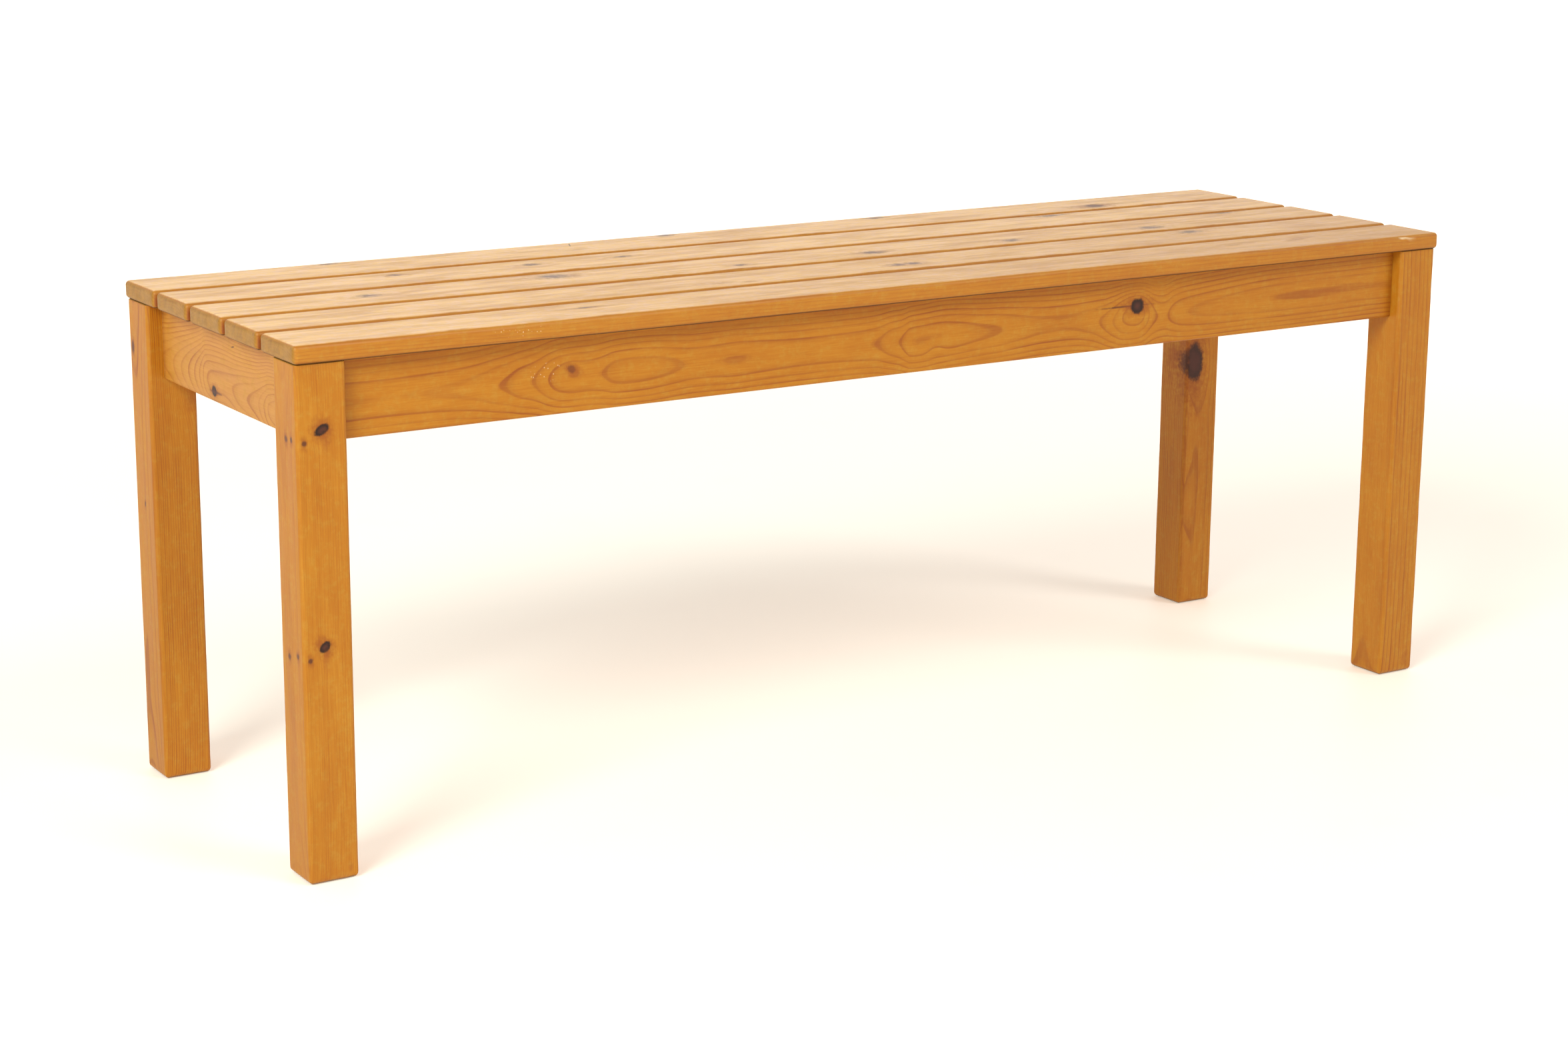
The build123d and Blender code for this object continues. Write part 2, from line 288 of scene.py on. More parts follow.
def screw_surface(length, sizes):
    """A countersunk wood screw with its head's flat at the origin and its point up the axis, as rings round
    it. Across the head lies a cross recess: its depth is the product of a smooth step of the distance from
    the nearer arm's line and one of the distance from the middle. Below the cone the shank has a thread: its
    radius rises to a crest where the height over the pitch, less the share of a turn, is a whole number and
    a half."""
    head, shank = sizes.screw_head / MM / 2, sizes.screw_shank / MM / 2
    arm_width, arm_slope, arm_reach, end_slope, recess_depth = 0.8, 0.3, 2.5, 0.5, 1.7
    edge_land, row, tip_length, clearance = 0.12, 0.42, 5.0, 0.985
    pitch, thread_start, thread_depth = 1.8, 11.0, 0.24
    turn = np.linspace(0, 2 * np.pi, 40, endpoint=False)[None]

    radius = np.linspace(0, head - edge_land, 15)[:, None]
    arm = np.minimum(np.abs(radius * np.cos(turn)), np.abs(radius * np.sin(turn)))
    inside = np.clip((arm_width - arm) / arm_slope, 0, 1) * np.clip((arm_reach - radius) / end_slope, 0, 1)
    recess = recess_depth * inside**2 * (3 - 2 * inside) * (1 - 0.14 * radius)
    top = np.stack(np.broadcast_arrays(radius * np.cos(turn), radius * np.sin(turn), recess), axis=-1)

    neck = head - shank
    height = np.concatenate([[0.1, neck], np.arange(neck + 0.4, length, row), [length]])[:, None]
    body = np.clip(head - height, shank, None)
    body = np.minimum(body, shank * (length - height) / tip_length)
    crest = np.clip(1 - 2.4 * np.abs((height / pitch - turn / (2 * np.pi)) % 1 - 0.5), 0, 1)
    threaded = np.clip((height - thread_start) / 2, 0, 1)
    body = body * (1 - thread_depth * threaded * (1 - crest)) * clearance
    rest = np.stack(np.broadcast_arrays(body * np.cos(turn), body * np.sin(turn), height), axis=-1)
    return np.concatenate([top, rest])


def placed_screws(length, heads, axis, sizes, seed):
    """Copies of a screw with their heads at places and their points along an axis, each turned at random."""
    axis = np.array(axis) / np.linalg.norm(axis)
    across = np.cross(axis, (0.0, 0.0, 1.0) if abs(axis[2]) < 0.5 else (0.0, 1.0, 0.0))
    turns = np.random.default_rng(seed).uniform(0, np.pi / 2, len(heads))[:, None]
    first = np.cos(turns) * across + np.sin(turns) * np.cross(axis, across)
    onto = np.stack([first, np.cross(axis, first), np.broadcast_to(axis, first.shape)], axis=1)
    return np.einsum("srk,nkj->nsrj", screw_surface(length, sizes), onto) + np.array(heads)[:, None, None]


def cut_to(mesh, node_name):
    """What a mesh has in common with a node's shape, so that it gets the node's mortises and holes. The
    node's copy is spread by a few tenths of a percent, so that only its cuts reach into the mesh."""
    low, high = (np.array(corner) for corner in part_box(node_name))
    about = Matrix.Translation((low + high) / 2)
    spread = Matrix.Diagonal((1.006, 1.006, 1.001, 1))
    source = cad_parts[node_name]
    template = bpy.data.objects.new("template", source.data.copy())
    template.data.transform(about @ spread @ about.inverted() @ source.matrix_world)
    weld(template.data)
    blank = bpy.data.objects.new("blank", mesh)
    for each in (template, blank):
        bpy.context.scene.collection.objects.link(each)
    cut = blank.modifiers.new("cut", "BOOLEAN")
    cut.operation, cut.solver, cut.object = "INTERSECT", "EXACT", template
    bpy.context.view_layer.update()
    shaped = bpy.data.meshes.new_from_object(blank.evaluated_get(bpy.context.evaluated_depsgraph_get()))
    bpy.data.objects.remove(blank)
    bpy.data.objects.remove(template)
    return shaped


def finished_piece(name, mesh, material, replaced):
    """The object of a finished mesh: smooth but for sharp edges, riding on the bench in place of a node."""
    mesh.shade_smooth()
    mesh.set_sharp_from_angle(angle=SHARP_ANGLE)
    mesh.materials.append(material)
    piece = bpy.data.objects.new(name, mesh)
    bpy.context.scene.collection.objects.link(piece)
    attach(piece, "root")
    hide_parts(replaced)


# ---- boards


class Board:
    """How a board lies and how it was sawn from its log.

    run: the bench's axis that it runs along. pith: the (b, c) place of the log's heart from the board's
    middle. ring: the width of a growth ring. depth: how the heart's distance across b changes along the
    board, as (place along a, change) points, and drift the same across c. knots: see Knot. seed: sets its
    random patterns apart from the other boards'. lines: how dark its ring lines show. wander: how far its
    grain strays. phase: how far its rings are shifted, as a share of one. uneven: how much their widths
    differ, as a share of one."""

    def __init__(
        self, node, run, pith, ring, depth=(), drift=(), knots=(),
        seed=0, lines=0.8, wander=1.6, phase=0.0, uneven=0.9,
    ):
        low, high = box_mm(node)
        self.node, self.run = node, run
        self.turn = np.array(TURN_ONTO_BOARD[run].to_matrix())
        self.middle = (low + high) / 2
        self.half = np.abs(self.turn @ (high - low) / 2)
        self.pith, self.ring, self.depth, self.drift = pith, ring, depth, drift
        self.knots, self.seed, self.lines, self.wander = knots, seed, lines, wander
        self.phase, self.uneven = phase, uneven


class Knot:
    """A knot or mark in a board: its middle (a, b, c), its half sizes along those axes, its turn about them,
    and by how many millimetres it bends the rings round it, within reach times its half sizes. kind names
    its look in KNOT_KINDS, or is "chips", or "none" for a swirl whose knot lies under the surface."""

    def __init__(self, middle, half, kind="dead", bend=0.0, turn=(0, 0, 0), reach=2.4):
        self.middle, self.half, self.kind = middle, half, kind
        self.bend, self.turn, self.reach = bend, turn, reach


def board_mesh(board, grid, ways, sizes, dents=(), chips=()):
    """The board's worn surface as a mesh where it lies, with an attribute that marks its end grain and one
    that marks the chips, each a bell of the distance from its middle, where bare wood shows."""
    shaped = wear(grid, ways, sizes, board.seed, dents)
    mesh = grid_mesh(board.node, shaped @ board.turn + board.middle)
    end_share = np.clip((np.abs(ways[..., 0]) - 0.55) / 0.35, 0, 1).ravel()
    bare = np.zeros(end_share.size)
    for middle, reach in chips:
        distance = (grid.reshape(-1, 3) - np.array(middle)) / np.array(reach)
        bare = np.maximum(bare, np.exp(-(distance**2).sum(axis=1) ** 2))
    for name, values in (("end_grain", end_share), ("bare", bare)):
        attribute = mesh.attributes.new(name, "FLOAT", "POINT")
        attribute.data.foreach_set("value", values.astype(np.float32))
    weld(mesh)
    return mesh


# ---- materials

# How far the patterns in the wood reach, along and across the grain: its fibres, its cloudy patches, its
# slow wandering and the smudges on it, and how large its spots are all round
FIBRES, CLOUDS, WANDERING, SMUDGES = (30, 1.1), (85, 17), (150, 38), (24, 2.6)
SPOT = 6.25

# Between which values nearly all of a noise lies
NOISE = (0.3, 0.7)

# How dark a growth ring is over its width: pale for long, then darker and darker, with a sharp end
RING_TONES = {0.06: 0.03, 0.45: 0.05, 0.74: 0.35, 0.86: 0.95, 0.95: 1.0}
RING_EDGE_TONE = (0.30, 0.30, 0.30, 1)

# For each kind of knot or mark, how much resin lies round it, and its spots from the outside in: the colour,
# how far the edge strays, between which distances it fades out, and how much of it there is. A dead knot has
# a nearly black rim of bark, a live one has grown into its wood, and sitting and washing turn one grey. The
# resin is such a spot too, drawn out along the knot's axes by its own reach.
RESIN = ("halo_and_shade", 1.6, (0.1, 1.2))
RESIN_REACH = (1 / 0.34, 1 / 0.62, 1 / 0.62)
KNOT_KINDS = {
    "dead": (0.8, [("knot_rim", 0.7, (0.8, 1.2), 1.0), ("knot", 0.7, (0.1, 0.8), 1.0)]),
    "live": (0.6, [("knot", 0.9, (0.5, 1.3), 0.8)]),
    "grey": (0.3, [("grey_knot", 2.2, (0.1, 1.5), 0.85)]),
    "stain": (0.0, [("latewood", 2.0, (0.0, 1.4), 0.42)]),
    "crack": (0.0, [("knot", 1.2, (0.3, 1.2), 0.8)]),
}


def node(tree, kind, inputs=(), **settings):
    """Adds a shader node with its settings. inputs gives its inputs in their order, or by name or number,
    each as a value, a socket to link to, or a node whose main output is linked."""
    made = tree.nodes.new("ShaderNode" + kind)
    for name, value in settings.items():
        setattr(made, name, value)
    for key, value in inputs.items() if isinstance(inputs, dict) else enumerate(inputs):
        if isinstance(key, str):
            socket = next(each for each in made.inputs if each.enabled and each.name == key)
        else:
            socket = made.inputs[key]
        if isinstance(value, bpy.types.Node):
            value = next(each for each in value.outputs if each.enabled)
        if isinstance(value, bpy.types.NodeSocket):
            tree.links.new(value, socket)
        else:
            socket.default_value = value
    return made


def new_material(name):
    """An empty material and its node tree."""
    material = bpy.data.materials.new(name)
    material.use_nodes = True
    material.node_tree.nodes.clear()
    return material, material.node_tree


class Grain:
    """What all the layers of a board's pine share: the place on the board's own axes in millimetres, how
    far the surface faces up, the noises, each knot's own axes and distance, and the growth rings."""

    def __init__(self, tree, board, colours):
        self.tree, self.board, self.colours = tree, board, colours
        coordinates = node(tree, "TexCoord").outputs
        self.bench_place = coordinates["Object"]
        self.upward = node(tree, "SeparateXYZ", [coordinates["Normal"]]).outputs["Z"]
        offset = (-board.turn @ board.middle).tolist()
        onto_board = (self.bench_place, offset, TURN_ONTO_BOARD[board.run], (1 / MM,) * 3)
        self.place = node(tree, "Mapping", onto_board, vector_type="POINT")
        self.along, self.across, self.up = node(tree, "SeparateXYZ", [self.place]).outputs
        self.off_middle = node(tree, "Math", [self.across], operation="ABSOLUTE")
        self.fibres = self.drawn_out(FIBRES, detail=3.0, rough=0.65)
        self.clouds = self.drawn_out(CLOUDS, own=board.seed + 8.1, detail=4.0, rough=0.6)
        spots = {"Vector": self.place, "Scale": 1 / SPOT, "Detail": 5.0, "Roughness": 0.68}
        self.spots = node(tree, "TexNoise", spots)
        self.knots = []
        for knot in board.knots:
            onto_knot = (self.place, knot.middle, knot.turn, knot.half)
            axes = node(tree, "Mapping", onto_knot, vector_type="TEXTURE")
            distance = node(tree, "VectorMath", [axes], operation="LENGTH").outputs["Value"]
            self.knots.append((knot, axes, distance))
        self.rings = growth_rings(self, heart_distance(self))

    def drawn_out(self, reach, own=None, scale=1.0, detail=2.0, rough=0.5):
        """Noise in patches that reach as far as given along and across the grain. own is the board's own
        place in the noise's fourth dimension."""
        drawn = (self.place, (1 / reach[0], 1 / reach[1], 1 / reach[1]))
        place = node(self.tree, "VectorMath", drawn, operation="MULTIPLY")
        noise = {"Vector": place, "Scale": scale, "Detail": detail, "Roughness": rough}
        if own is None:
            return node(self.tree, "TexNoise", noise)
        return node(self.tree, "TexNoise", {**noise, "W": own}, noise_dimensions="4D")

    def layer(self, under, over, *shares):
        """A colour with another laid over it, which may be given by its name, in a share that is the product
        of several. Each share is a node or socket, or a tuple of a value, the two limits between which its
        share eases, and what it eases from and to."""
        total = 1.0
        for share in shares:
            if isinstance(share, tuple):
                share = node(self.tree, "MapRange", share, interpolation_type="SMOOTHSTEP")
            total = node(self.tree, "Math", (total, share), operation="MULTIPLY", use_clamp=True)
        if isinstance(over, str):
            over = getattr(self.colours, over)
        blend = {"Factor": total, "A": under, "B": over}
        return node(self.tree, "Mix", blend, data_type="RGBA", clamp_factor=True)


def curve_along(grain, points):
    """A value that follows given (place along the board, value) points as a smooth curve."""
    half = grain.board.half[0]
    places, values = np.array(points, float).T
    low, high = values.min(), values.max()
    share = node(grain.tree, "MapRange", (grain.along, -half, half))
    curve = node(grain.tree, "FloatCurve", {"Value": share})
    first, *inner, last = zip((places / half + 1) / 2, (values - low) / (high - low))
    line = curve.mapping.curves[0]
    line.points[0].location, line.points[1].location = first, last
    for at, height in inner:
        line.points.new(at, height)
    curve.mapping.update()
    return node(grain.tree, "MapRange", (curve, 0.0, 1.0, low, high), clamp=False)


def heart_distance(grain):
    """How far a place lies from the log's heart, after a slow wandering of the grain, and less the bending
    round each knot, which falls off as a bell of the distance: a base a little under one, raised to the
    distance's square."""
    tree, board = grain.tree, grain.board
    sway = grain.drawn_out(WANDERING, own=3.7 * board.seed).outputs["Color"]
    centred = node(tree, "VectorMath", (sway, (0.5, 0.5, 0.5)), operation="SUBTRACT")
    width = (0, 2 * board.wander, 2 * board.wander)
    swayed = node(tree, "VectorMath", (centred, width, grain.place), operation="MULTIPLY_ADD")
    arm = {}
    for axis, heart, points in ((1, board.pith[0], board.depth), (2, board.pith[1], board.drift)):
        across = node(tree, "SeparateXYZ", [swayed]).outputs[axis]
        arm[axis] = node(tree, "Math", (across, heart), operation="SUBTRACT")
        if points:
            arm[axis] = node(tree, "Math", (arm[axis], curve_along(grain, points)), operation="SUBTRACT")
    joined = node(tree, "CombineXYZ", arm)
    reach = node(tree, "VectorMath", [joined], operation="LENGTH").outputs["Value"]
    for knot, _, distance in grain.knots:
        if knot.bend:
            square = node(tree, "Math", (distance, distance), operation="MULTIPLY")
            bell = node(tree, "Math", (math.exp(-1 / knot.reach**2), square), operation="POWER")
            reach = node(tree, "Math", (bell, -knot.bend, reach), operation="MULTIPLY_ADD")
    return reach


def growth_rings(grain, distance):
    """How much latewood lies at a place, from 0 to 1. The rings are counted by the distance from the log's
    heart over the ring width. Each has its own width and darkness, and they fade here and there."""
    tree, board = grain.tree, grain.board
    count = node(tree, "Math", (distance, 1 / board.ring, board.phase), operation="MULTIPLY_ADD")
    if board.uneven:
        own_width = node(tree, "TexNoise", {"W": count, "Scale": 0.35, "Detail": 1.0}, noise_dimensions="1D")
        count = node(tree, "Math", (own_width, board.uneven, count), operation="MULTIPLY_ADD")
    number = node(tree, "Math", [count], operation="FLOOR")
    late = node(tree, "ValToRGB", [node(tree, "Math", [count], operation="FRACT")])
    ramp = late.color_ramp
    ramp.interpolation = "EASE"
    ramp.elements[0].color = ramp.elements[1].color = RING_EDGE_TONE
    for at, dark in RING_TONES.items():
        ramp.elements.new(at).color = (dark, dark, dark, 1)
    own = node(tree, "TexWhiteNoise", {"W": number}, noise_dimensions="1D").outputs["Value"]
    fading = grain.drawn_out(WANDERING, own=board.seed + 0.5, scale=2.2, detail=1.0)
    dark = late.outputs["Color"]
    for share in ((own, 0.0, 1.0, 0.42, 1.0), (fading, *NOISE, 0.45, 1.15)):
        dark = node(tree, "Math", (dark, node(tree, "MapRange", share)), operation="MULTIPLY")
    return node(tree, "Math", (dark, board.lines), operation="MULTIPLY", use_clamp=True)


def pine(name, board, colours, inside=0.0, worn=(), ends=False, grime_and_shade=0.0, joint=0.0, gloss=0.25):
    """Pine, planed, sanded and lacquered, as one solid pattern through the board. The rings give long lines
    on the sides and arcs on the ends, the fibres fine streaks along the grain, and the lacquer, yellowed
    with age, a satin sheen. inside: how bare the wood is; on the left end apron it is painted light, a
    lighter, yellower wood for the light that falls on the bench's left end. worn: how pale a
    seat board's upper face is laid at its left and right ends, rubbed wear with a painted highlight; a seat
    board also gets painted shade in its gaps and a painted shadow line along its lower edges. ends: whether
    it has end grain and chips. grime_and_shade: how high dirt and painted contact shade climb from the
    floor. joint: how far from the middle the shoulders lie, where dirt and painted shade gather. gloss: its
    reflection."""
    material, tree = new_material(name)
    grain = Grain(tree, board, colours)
    bare = [first + inside * (second - first) for first, second in zip(colours.earlywood, colours.inside)]
    early = grain.layer(bare, "yellowed", (grain.spots, 0.45, 0.72, 0.0, 0.75))
    wood = grain.layer(early, "latewood", grain.rings)
    # The seat's top: rubbed pale, with a painted highlight brightest at its left end
    if worn:
        wood = wear_and_highlight_top(grain, wood, worn)
    streak = node(tree, "MapRange", (grain.fibres, 0.25, 0.75, 1.11, 0.93))
    cloud = node(tree, "MapRange", (grain.clouds, *NOISE, 1.08, 0.95))
    wood = node(tree, "Gamma", (wood, node(tree, "Math", (streak, cloud), operation="MULTIPLY")))
    if ends:
        wood = end_grain(grain, wood)
    for knot, axes, distance in grain.knots:
        if knot.kind == "chips":
            wood = chipping(grain, wood, distance)
        elif knot.kind != "none":
            wood = marked(grain, wood, knot, axes, distance)
    # Darker at the foot: dirt, and painted shade where it meets the floor
    if grime_and_shade:
        wood = foot_dirt_and_shade(grain, wood, grime_and_shade)
    # A seat board gets painted shade in its gaps and a painted shadow line along its lower edges
    if worn:
        wood = underside(grain, painted_gap_shade(grain, wood))
    # Darker towards the shoulders, where an apron meets a leg: dirt, and painted shade in the corner
    if joint:
        from_middle = node(tree, "Math", [grain.along], operation="ABSOLUTE")
        wood = grain.layer(wood, "halo_and_shade", (from_middle, joint - 9, joint + 1, 0.0, 0.4))
    if ends:
        wood = grain.layer(wood, "chip", node(tree, "Attribute", attribute_name="bare").outputs["Fac"])

    rough = node(tree, "MapRange", (grain.clouds, *NOISE, 0.38, 0.52))
    height = node(tree, "Math", (grain.rings, 0.35, grain.fibres), operation="MULTIPLY_ADD")
    bump = node(tree, "Bump", {"Height": height, "Strength": 0.35, "Distance": 0.2 * MM})
    looks = {"Base Color": wood, "Roughness": rough, "Normal": bump, "Specular IOR Level": gloss}
    node(tree, "OutputMaterial", [node(tree, "BsdfPrincipled", looks)])
    return material


def wear_and_highlight_top(grain, wood, worn):
    """The wood's colour with its upper face rubbed pale, but for a ragged margin along each edge that sitting
    doesn't reach. How pale it is laid runs from the left end to the right as given: a painted highlight,
    brightest at the left end. Patches of the wear are bleached to pink, some are thin, and smudges of dirt
    lie in the wood and along the margins."""
    tree, half = grain.tree, grain.board.half[0]
    flat = (grain.upward, 0.78, 0.97)
    patches = grain.drawn_out(CLOUDS, own=grain.board.seed + 2.3, scale=1.3, detail=5.0, rough=0.6)
    ragged = node(tree, "Math", (patches, 20.0, grain.off_middle), operation="MULTIPLY_ADD")
    bare = node(tree, "MapRange", (patches, 0.36, 0.58, 0.54, 1.0))
    # Painted highlight: the wear is laid palest at the left end and, on the front boards, less towards the
    # right
    along = node(tree, "MapRange", (grain.along, -half, half, *worn))
    faint = node(tree, "Math", (grain.rings, 0.8), operation="MULTIPLY")
    pale = grain.layer(grain.colours.worn, "faded", (grain.spots, 0.42, 0.66, 0.0, 0.9))
    pale = grain.layer(pale, "worn_line", faint)
    wood = grain.layer(wood, pale, flat, (ragged, 41.5, 45.5, 1.0, 0.0), bare, along)
    smudges = grain.drawn_out(SMUDGES, own=grain.board.seed + 5.9, detail=3.0, rough=0.6)
    at_margin = (grain.off_middle, 20.0, 31.0, 0.2, 0.6)
    return grain.layer(wood, "earlywood", (smudges, 0.56, 0.74), at_margin, flat)


def end_grain(grain, wood):
    """The wood's colour with the sawn ends of the board, darker, blotchy and with the rings as arcs."""
    sawn = grain.layer(grain.colours.end_grain, "latewood", grain.rings)
    tone = node(grain.tree, "MapRange", (grain.spots, *NOISE, 0.72, 1.12))
    blotched = node(grain.tree, "HueSaturation", {"Color": sawn, "Value": tone})
    ends = node(grain.tree, "Attribute", attribute_name="end_grain").outputs["Fac"]
    return grain.layer(wood, blotched, ends)


def marked(grain, wood, knot, axes, distance):
    """The wood's colour with a knot or mark in it: the resin round it, which reaches furthest along the
    grain, and its spots, all with edges that stray."""
    tree = grain.tree
    resin, spots = KNOT_KINDS[knot.kind]
    ragged = node(tree, "Math", (grain.spots, 0.5), operation="SUBTRACT")
    layers = [(distance, *spot) for spot in spots]
    if resin:
        drawn = node(tree, "VectorMath", (axes, RESIN_REACH), operation="DIVIDE")
        spread = node(tree, "VectorMath", [drawn], operation="LENGTH").outputs["Value"]
        layers.insert(0, (spread, *RESIN, resin))
    for away, colour_name, stray, limits, most in layers:
        edge = node(tree, "Math", (ragged, stray, away), operation="MULTIPLY_ADD")
        wood = grain.layer(wood, colour_name, (edge, *limits, most, 0.0))
    return wood


def chipping(grain, wood, distance):
    """The wood's colour with specks where the lacquer has flaked off to bare wood."""
    cells = {"Vector": grain.bench_place, "Scale": 1 / (3.6 * MM)}
    specks = node(grain.tree, "TexVoronoi", cells).outputs["Distance"]
    return grain.layer(wood, "chip", (specks, 0.05, 0.22, 0.65, 0.0), (distance, 0.6, 1.1, 1.0, 0.0))


def foot_dirt_and_shade(grain, wood, grime_and_shade):
    """The wood's colour, darker in patches from the floor up to a given height on the foot: dirt, and painted
    shade where the foot meets the floor.
    """
    height = node(grain.tree, "SeparateXYZ", [grain.bench_place]).outputs["Z"]
    patches = node(grain.tree, "MapRange", (grain.spots, 0.35, 0.6, 0.35, 1.0))
    # Dirt, and painted shade where the foot meets the floor, from the floor up to the given height
    return grain.layer(wood, "grime_and_shade", (height, 0.0, grime_and_shade * MM, 1.0, 0.0), patches)


def painted_gap_shade(grain, wood):
    """The wood's colour with painted shade down both sides of a seat board, darker and darker into the gap,
    but for the front one's front.
    """
    _, side, top = grain.board.half
    sideways = grain.across if grain.board.node == "seat_slat_1" else grain.off_middle
    # Painted shade: darker and darker down the sides of the gap, from 1.5 mm to 9 mm below the top
    sunk = (grain.up, top - 1.5, top - 9.0, 0.25, 0.95)
    return grain.layer(wood, "halo_and_shade", (sideways, side - 1.5, side - 0.3), sunk)


def underside(grain, wood):
    """The wood's colour with a painted shadow line, nearly black, along its lower edges, and on the face that
    points down planed and pale.
    """
    low = -grain.board.half[2]
    # Painted shadow: the sides laid nearly black up to 2.4 mm above the lower face
    wood = grain.layer(wood, "grime_and_shade", (grain.up, low + 0.6, low + 2.4, 0.96, 0.0))
    planed = grain.layer(grain.colours.inside, "latewood", grain.rings)
    return grain.layer(wood, planed, (grain.upward, -0.99, -0.95, 1.0, 0.0))


def zinc_plate(colours):
    """Zinc plated steel, cold headed and rolled: a bluish grey metal, dulled by fine pits."""
    material, tree = new_material("zinc_plated_steel")
    place = node(tree, "TexCoord").outputs["Object"]
    pits = node(tree, "TexNoise", {"Vector": place, "Scale": 1 / (0.4 * MM), "Detail": 3.0})
    rough = node(tree, "MapRange", (pits, *NOISE, 0.28, 0.5))
    tint = node(tree, "MapRange", (pits, *NOISE, 0.85, 1.0))
    steel = node(tree, "HueSaturation", {"Color": colours.zinc, "Value": tint})
    looks = {"Base Color": steel, "Roughness": rough, "Metallic": 1.0}
    node(tree, "OutputMaterial", [node(tree, "BsdfPrincipled", looks)])
    return material


def painted_floor(colours):
    """Floor paint, rolled on: nearly white and matt, with faint specks. It also gives back some of the light
    that comes from all round, more of it far from the bench."""
    material, tree = new_material("painted_floor")
    place = node(tree, "TexCoord").outputs["Object"]
    specks = node(tree, "TexNoise", {"Vector": place, "Scale": 9.0, "Detail": 8.0, "Roughness": 0.7})
    tone = node(tree, "MapRange", (specks, 0.3, 0.45, 0.97, 1.0))
    paint = node(tree, "HueSaturation", {"Color": colours.floor, "Value": tone})
    away = node(tree, "VectorMath", [place], operation="LENGTH").outputs["Value"]
    glow = node(tree, "MapRange", (away, 1.0, 4.0, 0.35, 0.8), interpolation_type="SMOOTHSTEP")
    light = {"Emission Color": colours.floor_glow, "Emission Strength": glow}
    looks = {"Base Color": paint, "Roughness": 0.55, **light}
    node(tree, "OutputMaterial", [node(tree, "BsdfPrincipled", looks)])
    return material


# ---- the boards of this bench


def seat_boards():
    """The five seat boards from the front, each with its own log and its weathered knots, placed by their
    distance from the board's left end and back edge."""
    half_length, half_width = np.ptp(box_mm("seat_slat_1"), axis=0)[:2] / 2

    def mark(from_left, from_back, along, across, kind="grey", turn=0.0, bend=2.0):
        middle = (from_left - half_length, half_width - from_back, 0)
        return Knot(middle, (along, across, THROUGH), kind, bend, (0, 0, turn))

    def chips(from_left, up, half):
        return Knot((from_left - half_length, -half_width, up), half, "chips")

    knots = [
        [
            mark(290, 27, 9, 2.6), mark(1085, 35, 16, 4, "stain", turn=0.2), mark(1010, 30, 12, 4, "stain"),
            chips(205, 2, (26, 3, 5)), chips(1158, 0, (8, 3, 3)),
        ],
        [
            mark(458, 51, 16, 6, "stain"), mark(484, 58, 10, 5, "stain"), mark(655, 45, 9, 6),
            mark(672, 45, 8, 6), mark(1028, 18, 12, 7),
        ],
        [
            mark(155, 33, 10, 7), mark(343, 22, 14, 11), mark(361, 27, 7, 8, "stain", bend=0),
            mark(525, 50, 7, 5), mark(675, 48, 12, 8), mark(838, 51, 11, 7), mark(1012, 52, 13, 8),
            mark(1145, 5, 14, 6, bend=0),
        ],
        [
            mark(222, 20, 7, 5), mark(357, 28, 8, 6), mark(975, 10, 18, 5), mark(1112, 10, 12, 8, "stain"),
            mark(455, 27, 8, 4),
        ],
        [
            mark(557, 8, 10, 6), mark(806, 11, 10, 6), mark(1060, 52, 12, 10, "live"), mark(195, 8, 10, 4),
            mark(446, 16, 1.0, 10, "crack", turn=-0.42, bend=0),
        ],
    ]
    hearts = ((6, -62), (-14, -70), (10, -58), (-6, -80), (18, -66))
    slopes = (6, -9, 8, -5, 10)
    return [
        Board(
            f"seat_slat_{number}", "x", heart, 2.7,
            depth=[(-half_length, -slope), (0, 2), (half_length, slope)],
            knots=marks, seed=10 + number, lines=0.55,
        )
        for number, (heart, slope, marks) in enumerate(zip(hearts, slopes, knots), 1)
    ]


